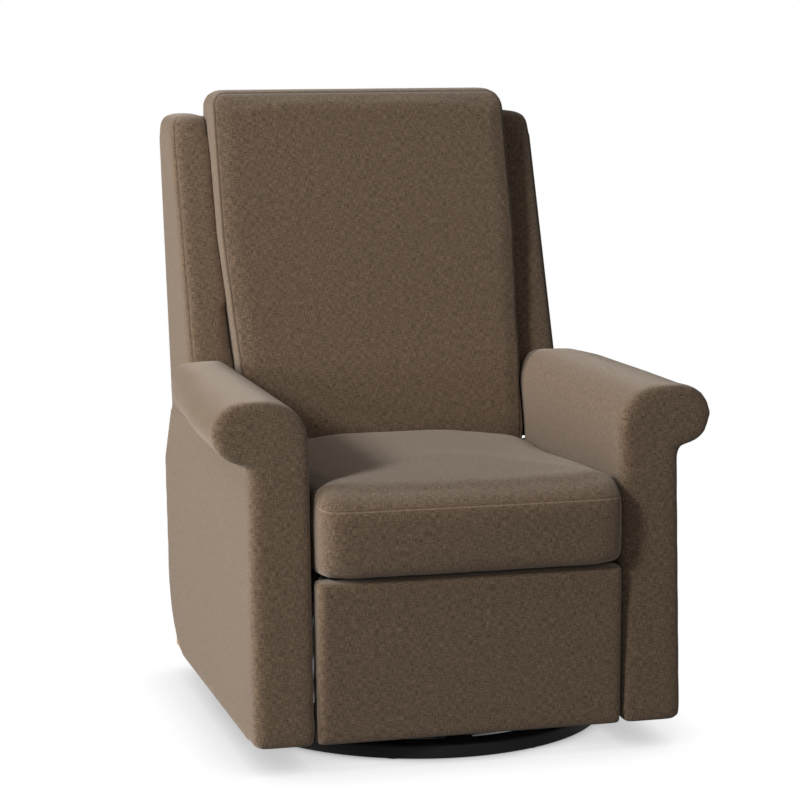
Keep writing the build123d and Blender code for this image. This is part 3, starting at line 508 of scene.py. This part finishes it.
def finer_along(piece, height_of, within):
    """Halves the mesh twice along a seam, so that a narrow fold shows."""
    for reach in (within, within / 2):
        mesh = bmesh.new()
        mesh.from_mesh(piece.data)
        near = np.abs(height_of(points_of(piece))) < reach
        edges = [e for e in mesh.edges if near[e.verts[0].index] and near[e.verts[1].index]]
        bmesh.ops.subdivide_edges(mesh, edges=edges, cuts=1, use_grid_fill=True)
        mesh.to_mesh(piece.data)
        mesh.free()


def sew(piece, height_of, on_seam, tint=1.0, width=None, band=SEAM_BAND):
    """Presses a narrow fold along the line where height_of is zero, where on_seam holds.

    The tint is how strongly the fold attribute paints shade into the fold, and is negative for a
    pale thread.
    """
    finer_along(piece, height_of, band)
    cushions = settings("cushions")
    points, normals = points_of(piece), normals_of(piece)
    off = np.abs(height_of(points)) / (width or cushions.seam_width)
    share = np.exp(-off ** 2) * on_seam(points, normals)
    put_points(piece, points - normals * (cushions.seam_depth * share)[:, None])
    # the fold attribute paints shade into the fold; a negative tint makes it a pale thread
    # instead
    fold = piece.data.attributes.new("fold", "FLOAT", "POINT")
    fold.data.foreach_set("value", tint * share)


def weave_map(piece):
    """A weave map in metres: each face takes the plane that it faces most."""
    mesh = piece.data
    layer = mesh.uv_layers.new(name="weave")
    plane_shift = 0.37      # keeps the pattern from meeting itself where two planes join
    corner_vert = np.empty(len(mesh.loops), np.int32)
    mesh.loops.foreach_get("vertex_index", corner_vert)
    points = points_of(piece)[corner_vert]
    totals = np.empty(len(mesh.polygons), np.int32)
    mesh.polygons.foreach_get("loop_total", totals)
    facing = np.abs(np.repeat(rows_of(mesh.polygons, "normal"), totals, axis=0)).argmax(1)
    across = np.where(facing == 0, points[:, 1], points[:, 0])
    upward = np.where(facing == 2, points[:, 1], points[:, 2])
    uv = np.stack([across + plane_shift * facing, upward], 1)
    layer.data.foreach_set("uv", np.ascontiguousarray(uv, np.float32).ravel())


def cover(piece, nodes):
    """Ends an upholstered piece: smooth shading, weave map, fabric, its place in the frame."""
    for polygon in piece.data.polygons:
        polygon.use_smooth = True
    weave_map(piece)
    piece.data.materials.clear()
    piece.data.materials.append(bpy.data.materials["tweed"])
    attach(piece, BODY_OF[nodes[0]])
    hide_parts(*nodes)


# ---- the shapes of the pieces ------------------------------------------------------------
def circle_through(a, b, c):
    """Centre and radius of the circle through three (back, up) points."""
    ax, ay, bx, by, cx, cy = *a, *b, *c
    a2, b2, c2 = ax**2 + ay**2, bx**2 + by**2, cx**2 + cy**2
    d = 2 * (ax * (by - cy) + bx * (cy - ay) + cx * (ay - by))
    ux = (a2 * (by - cy) + b2 * (cy - ay) + c2 * (ay - by)) / d
    uy = (a2 * (cx - bx) + b2 * (ax - cx) + c2 * (bx - ax)) / d
    return ux, uy, math.hypot(ax - ux, ay - uy)


def back_face(height):
    """How far back the back cushion's front face lies at a height."""
    centre, level, radius = circle_through(WAIST, CHEST, HEAD)
    arc = centre + np.sqrt(np.maximum(radius * radius - (height - level) ** 2, 0))
    slope = np.interp(height, (FACE_FOOT[1], WAIST[1]), (FACE_FOOT[0], WAIST[0]))
    return np.where(height > WAIST[1], arc, slope)


def lap_arm(node, part):
    """Lets the pieces of an arm overlap, and carries the roll on along the wing's outer side."""
    lap, rear_lap = 0.003, 0.005
    panel_inside, rear_outside, rear_front = 0.3615, 0.358, 0.56
    roll_outside, roll_rear, roll_height, tail_drop = 0.3605, 0.565, 0.092, 0.021
    for v in part.verts:
        side, out, back = math.copysign(1, v.co.x), abs(v.co.x), v.co.y - FRONT_PLANE
        on_roll_end = back > roll_rear and out > roll_outside and v.co.z > ROLL_ZONE
        if node.startswith("outside") and out < panel_inside:
            v.co.x -= side * lap
        elif node.startswith("arm_rear"):
            v.co.x += side * lap * (out > rear_outside)
            v.co.y -= rear_lap * (back < rear_front)
        elif node.startswith("arm_cover") and on_roll_end:
            v.co.y = at_back(ROLL_TAIL)
            v.co.z -= tail_drop * (v.co.z - ROLL_LOW) / roll_height


def round_roll(arm):
    """Makes an arm's roll one smooth cone, from its round front to its thin tail at the wing."""
    tail_end, core, tiny = 0.702, 0.6, 1e-6     # points in the core, a share of the radius, stay
    ease_out, ease_back, ease_up = 0.004, 0.05, 0.008
    points = points_of(arm)
    side, out = np.sign(points[:, 0]), np.abs(points[:, 0]) - ARM_SIDE
    back, height = points[:, 1] - FRONT_PLANE, points[:, 2]
    reach, top = along(ROLL_REACH, back), along(ROLL_TOP, back)
    middle, half = (top + ROLL_LOW) / 2, (top - ROLL_LOW) / 2
    far = np.maximum(np.hypot(out / reach, (height - middle) / half), tiny)
    share = rise(out, 0, ease_out) * rise(back, ROLL_FRONT, ease_back)
    share *= rise(height, ROLL_LOW - ease_up, ease_up) * (far > core) * (back < tail_end)
    wanted = points.copy()
    wanted[:, 0] = side * (ARM_SIDE + out / far)
    wanted[:, 2] = middle + (height - middle) / far
    put_points(arm, points + (wanted - points) * share[:, None])


def above_crease(points):
    """How far points lie above the crease under an arm's roll."""
    return points[:, 2] - CREASE_Z


def beside_roll(points, normals):
    """Where the crease is sewn, at half strength: on the arm's outer side, up to the tail."""
    outer_face, seam_start, strength = 0.360, 0.02, 0.5
    outside = np.abs(points[:, 0]) > outer_face
    on_length = (points[:, 1] > at_back(seam_start)) & (points[:, 1] < at_back(ROLL_TAIL))
    return strength * (outside & on_length)


def meet_cushion(wing):
    """Carries a wing's inner side to the back cushion, above the wing's own padding."""
    inner_side, reach = 0.286, 0.020
    padding_top, ease = 0.69, 0.02
    points = points_of(wing)
    out, height = np.abs(points[:, 0]), points[:, 2]
    near = np.clip((inner_side + reach - out) / reach, 0, 1) * rise(height, padding_top, ease)
    gap = np.maximum(inner_side - along(CUSHION_SIDE, height), 0)
    points[:, 0] -= np.sign(points[:, 0]) * near * gap
    put_points(wing, points)


def across_wing_edge(points):
    """How far points lie from the slanting plane through a wing's outer front edge."""
    foot, foot_height, slope, diagonal = 0.561, 0.445, 0.4, 1.41
    front = at_back(foot + slope * (points[:, 2] - foot_height))
    return (WING_SIDE - np.abs(points[:, 0]) - (points[:, 1] - front)) / diagonal


def at_wing_edge(points, normals):
    """Where a wing's seam is sewn: on its front, along the outer edge."""
    seam_low, inner_limit, forward = 0.5, 0.32, -0.2
    at_edge = (points[:, 2] > seam_low) & (np.abs(points[:, 0]) > inner_limit)
    return at_edge & (normals[:, 1] < forward)


def lower_top(panel):
    """Lowers the top of a panel, so that it doesn't show above the wings."""
    drop, start, ease = 0.007, 1.00, 0.03
    points = points_of(panel)
    points[:, 2] -= drop * rise(points[:, 2], start, ease)
    put_points(panel, points)


def crown(cushion, low):
    """Fills out a seat cushion's nose and its front corners, above its seam."""
    seam_height, ease, corner_share, most = 0.425, 0.02, 0.4, 0.019
    points = points_of(cushion)
    deep, out, height = points[:, 1] - low.y, np.abs(points[:, 0]), points[:, 2]
    nose = along(SEAT_NOSE, deep)
    sides = along(SEAT_SIDES, out) * along(SEAT_SIDES_SHARE, deep)
    crowned = np.minimum(np.maximum(nose, sides) + corner_share * np.minimum(nose, sides), most)
    points[:, 2] += rise(height, seam_height, ease) * crowned
    put_points(cushion, points)


def fill_waist(cushion):
    """Widens the back cushion between the arms, where its frame is narrower than the cover."""
    waist_side, middle, ease = 0.2638, 0.20, 0.05   # the cushion's middle stays as it is
    points = points_of(cushion)
    out, height = np.abs(points[:, 0]), points[:, 2]
    wider = np.maximum(waist_side - along(CUSHION_SIDE, height), 0)
    points[:, 0] += np.sign(points[:, 0]) * wider * rise(out, middle, ease)
    put_points(cushion, points)


def inside_outline(out, height, side, top, low, radius):
    """Distance inside a round-cornered outline: positive within it, negative beyond it."""
    across = out - (side - radius)
    up = np.maximum(height - (top - radius), (low + radius) - height)
    beyond = np.hypot(np.maximum(across, 0), np.maximum(up, 0))
    return radius - beyond - np.minimum(np.maximum(across, up), 0)


def inside_front_panel(points):
    """How far points lie inside the back cushion's front panel, seen from the front."""
    seam_inset = 0.004
    side = along(CUSHION_SIDE, points[:, 2]) - seam_inset
    return inside_outline(np.abs(points[:, 0]), points[:, 2], side,
                          top=1.081, low=0.335, radius=0.025)


def on_front_half(points, normals):
    """Where the front panel's seam is sewn: near the back cushion's front face."""
    depth = 0.055
    return points[:, 1] < at_back(back_face(points[:, 2]) + depth)


# ---- operators ---------------------------------------------------------------------------
class RECLINER_OT_finishes(bpy.types.Operator):
    """Gives every piece of the frame its finish"""
    bl_idname = "recliner.finishes"
    bl_label = "Finishes"

    def execute(self, context):
        finish_of = {
            "fabric": tweed(),
            "black_steel": black_steel(),
            "zinc_steel": plated_steel("zinc_plate", (0.56, 0.57, 0.58), 0.38, 0.25),
            "bright_steel": plated_steel("bright_plate", (0.70, 0.70, 0.71), 0.22, 0.15),
            "nylon": plastic("white_nylon", (0.72, 0.70, 0.65), 0.45),
            "rubber": plastic("black_rubber", (0.020, 0.020, 0.021), 0.75),
            "wood": plywood(),
            "webbing": webbing_cloth(),
        }
        for part in frame["record"]["subparts"]:
            mesh = NODES[part["node"]].data
            mesh.materials.clear()
            mesh.materials.append(finish_of[part["material_slot"]])
        return {"FINISHED"}


class RECLINER_OT_arms(bpy.types.Operator):
    """Makes both rolled arms, each with its outside panel"""
    bl_idname = "recliner.arms"
    bl_label = "Arms"

    def execute(self, context):
        for side in ("left", "right"):
            nodes = ["arm_cover_" + side, "outside_arm_" + side, "arm_rear_" + side]
            arm = merged_copy("arm_" + side, nodes, lap_arm)
            even_mesh(arm, settings("fabric").voxel)
            soften(arm, rounds=7)
            round_roll(arm)
            soften(arm, rounds=12, chosen=lambda p: p.z > ROLL_ZONE and p.y > at_back(ROLL_FRONT))
            soften(arm, rounds=14, chosen=lambda p: p.y < at_back(FRONT_ZONE))
            # the crease under the roll is darkened with painted shade
            sew(arm, above_crease, beside_roll)
            cover(arm, nodes)
        return {"FINISHED"}


class RECLINER_OT_wings(bpy.types.Operator):
    """Makes both wings beside the back"""
    bl_idname = "recliner.wings"
    bl_label = "Wings"

    def execute(self, context):
        for side in ("left", "right"):
            wing = merged_copy("wing_cover_" + side, ["wing_" + side])
            even_mesh(wing, settings("fabric").voxel)
            soften(wing, rounds=9)
            soften(wing, rounds=22, chosen=lambda p: p.z > WING_TOP_ZONE)
            meet_cushion(wing)
            # the seam along the wing's outer front edge is darkened with painted shade
            sew(wing, across_wing_edge, at_wing_edge, tint=0.5, band=0.006)
            cover(wing, ["wing_" + side])
        return {"FINISHED"}


class RECLINER_OT_outside_back(bpy.types.Operator):
    """Makes the outside back panel and the padding between the wings"""
    bl_idname = "recliner.outside_back"
    bl_label = "Outside back"

    def execute(self, context):
        for node in ("outside_back", "back_padding"):
            panel = merged_copy(node + "_cover", [node])
            even_mesh(panel, settings("fabric").voxel * FINE)
            soften(panel, rounds=6)
            lower_top(panel)
            cover(panel, [node])
        return {"FINISHED"}


class RECLINER_OT_footrest(bpy.types.Operator):
    """Makes the padded footrest panel"""
    bl_idname = "recliner.footrest"
    bl_label = "Footrest panel"

    def execute(self, context):
        panel = merged_copy("footrest_cover", ["footrest_pad"])
        even_mesh(panel, settings("fabric").voxel * FINE)
        soften(panel, rounds=8)
        cover(panel, ["footrest_pad"])
        return {"FINISHED"}


class RECLINER_OT_seat_cushion(bpy.types.Operator):
    """Makes the crowned seat cushion with its seam"""
    bl_idname = "recliner.seat_cushion"
    bl_label = "Seat cushion"

    def execute(self, context):
        low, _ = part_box("seat_cushion")

        def on_nose(p):
            depth, underside, corner = 0.060, 0.405, 0.215
            return p.y < low.y + depth and (p.z > underside or abs(p.x) > corner)

        def above_seam(points):
            seam_front, seam_climb, climb_reach = 0.436, 0.013, 0.12
            climb = seam_climb * rise(points[:, 1], low.y, climb_reach)
            return points[:, 2] - (seam_front + climb)

        cushion = filled_cushion("seat_cushion_cover", "seat_cushion", 2,
                                 lambda piece: crown(piece, low), on_nose)
        sew(cushion, above_seam, lambda points, normals: 1.0, tint=-0.4, width=0.0011)
        cover(cushion, ["seat_cushion"])
        return {"FINISHED"}


class RECLINER_OT_back_cushion(bpy.types.Operator):
    """Makes the tall back cushion with its boxing seam"""
    bl_idname = "recliner.back_cushion"
    bl_label = "Back cushion"

    def execute(self, context):
        cushion = filled_cushion("back_cushion_cover", "back_cushion", 1, fill_waist)
        # the boxing seam is darkened with painted shade
        sew(cushion, inside_front_panel, on_front_half, tint=0.8, width=0.0016)
        cover(cushion, ["back_cushion"])
        return {"FINISHED"}


class RECLINER_OT_stage(bpy.types.Operator):
    """Sets up the floor, the lights and the camera"""
    bl_idname = "recliner.stage"
    bl_label = "Studio"

    def execute(self, context):
        stage = settings("stage")
        context.scene.view_settings.view_transform = "Standard"
        lay_floor(reach=12)
        set_world(stage.sky)
        soft_light("key", (-3.9, -2.8, 2.75), 0.8, stage.key_power)
        soft_light("side", (-6.5, -0.2, 1.8), 1.6, stage.side_power)
        soft_light("soft", (-2.6, -0.4, 3.6), 3.0, stage.soft_power)
        soft_light("front_fill", (0.6, -4.5, 2.2), 3.0, stage.fill_power)
        set_camera(stage)
        return {"FINISHED"}


# ---- the studio --------------------------------------------------------------------------
def set_camera(stage):
    camera = bpy.data.cameras.new("camera")
    camera.sensor_width = 36
    camera.lens = stage.camera_lens
    camera.clip_end = 50
    holder = link_object("camera", camera)
    holder.location = stage.camera_place
    holder.rotation_euler = (math.pi / 2 - stage.camera_down, 0, -stage.camera_turn)
    bpy.context.scene.camera = holder


def soft_light(name, place, size, power):
    lamp = bpy.data.lights.new(name, "AREA")
    lamp.shape = "SQUARE"
    lamp.size = size
    lamp.energy = power
    holder = link_object(name, lamp)
    holder.location = place
    way = Vector(LIT_POINT) - Vector(place)
    holder.rotation_euler = way.to_track_quat("-Z", "Y").to_euler()


def end_tree(tree, output, lighting, seen):
    """One shader for the rays that light the chair, and another where the surface is seen.

    It is seen by camera rays, and by the rays of metal and glass that show it.
    """
    ray = add(tree, "ShaderNodeLightPath").outputs
    shown = math_node(tree, "MAXIMUM", ray["Is Camera Ray"], ray["Is Glossy Ray"])
    shown = math_node(tree, "MAXIMUM", shown, ray["Is Transmission Ray"])
    mix = add(tree, "ShaderNodeMixShader", {0: shown, 1: lighting, 2: seen})
    add(tree, output, {"Surface": mix.outputs[0]})


def floor_finish():
    """A white studio floor. Where it is seen it glows white, with a painted soft shadow where the
    chair comes near it and a painted near-black shadow under the base.
    """
    material = bpy.data.materials.new("studio_floor")
    material.use_nodes = True
    tree = material.node_tree
    tree.nodes.clear()
    plain = add(tree, "ShaderNodeBsdfDiffuse", {"Color": (0.25, 0.25, 0.25, 1)}).outputs[0]
    # painted shadow: the seen floor darkens with the ambient occlusion of the chair above it
    openness = add(tree, "ShaderNodeAmbientOcclusion", {"Distance": 0.17},
                   samples=16).outputs["AO"]
    painted_contact_shadow = ramp(tree, openness, [(0.0, 0.36), (0.42, 0.72), (0.78, 1.0)])
    # painted shadow: the seen floor is near black within 0.2 m of the swivel, under the base
    from_swivel = add(tree, "ShaderNodeVectorMath",
                      {0: object_place(tree), 1: (0.0, SWIVEL_Y, 0.0)},
                      operation="DISTANCE").outputs["Value"]
    painted_shadow_under_base = ramp(tree, from_swivel, [(0.20, 0.01), (0.30, 1.0)])
    shade = blend_colours(tree, 1.0, painted_contact_shadow, painted_shadow_under_base, "MULTIPLY")
    shown = add(tree, "ShaderNodeEmission", {"Color": shade}).outputs[0]
    end_tree(tree, "ShaderNodeOutputMaterial", plain, shown)
    return material


def lay_floor(reach):
    grid = bmesh.new()
    bmesh.ops.create_grid(grid, x_segments=1, y_segments=1, size=reach)
    mesh = bpy.data.meshes.new("floor")
    grid.to_mesh(mesh)
    grid.free()
    mesh.materials.append(floor_finish())
    link_object("floor", mesh)


def set_world(strength):
    """White where it is seen, and an even soft light on the chair."""
    world = bpy.data.worlds.new("studio")
    bpy.context.scene.world = world
    world.use_nodes = True
    tree = world.node_tree
    tree.nodes.clear()
    light, white = (add(tree, "ShaderNodeBackground", {"Color": WHITE, "Strength": power})
                    for power in (strength, 1.0))
    end_tree(tree, "ShaderNodeOutputWorld", light.outputs[0], white.outputs[0])


# ---- the add-on --------------------------------------------------------------------------
STEPS = (RECLINER_OT_finishes, RECLINER_OT_arms, RECLINER_OT_wings, RECLINER_OT_outside_back,
         RECLINER_OT_footrest, RECLINER_OT_seat_cushion, RECLINER_OT_back_cushion,
         RECLINER_OT_stage)


class RECLINER_PT_panel(bpy.types.Panel):
    """Lists the chair's pieces and settings"""
    bl_label = "Recliner"
    bl_idname = "RECLINER_PT_panel"
    bl_space_type = "VIEW_3D"
    bl_region_type = "UI"
    bl_category = "Recliner"

    def draw(self, context):
        for name, group in GROUPS.items():
            for setting in group.__annotations__:
                self.layout.prop(settings(name), setting)
        for step in STEPS:
            self.layout.operator(step.bl_idname)


def register():
    for name, group in GROUPS.items():
        bpy.utils.register_class(group)
        setattr(bpy.types.Scene, "recliner_" + name, PointerProperty(type=group))
    for made in (*STEPS, RECLINER_PT_panel):
        bpy.utils.register_class(made)


def unregister():
    for made in (RECLINER_PT_panel, *reversed(STEPS)):
        bpy.utils.unregister_class(made)
    for name, group in reversed(GROUPS.items()):
        delattr(bpy.types.Scene, "recliner_" + name)
        bpy.utils.unregister_class(group)


def main():
    register()
    for step in STEPS:
        family, name = step.bl_idname.split(".")
        getattr(getattr(bpy.ops, family), name)()


if __name__ == "__main__":
    main()
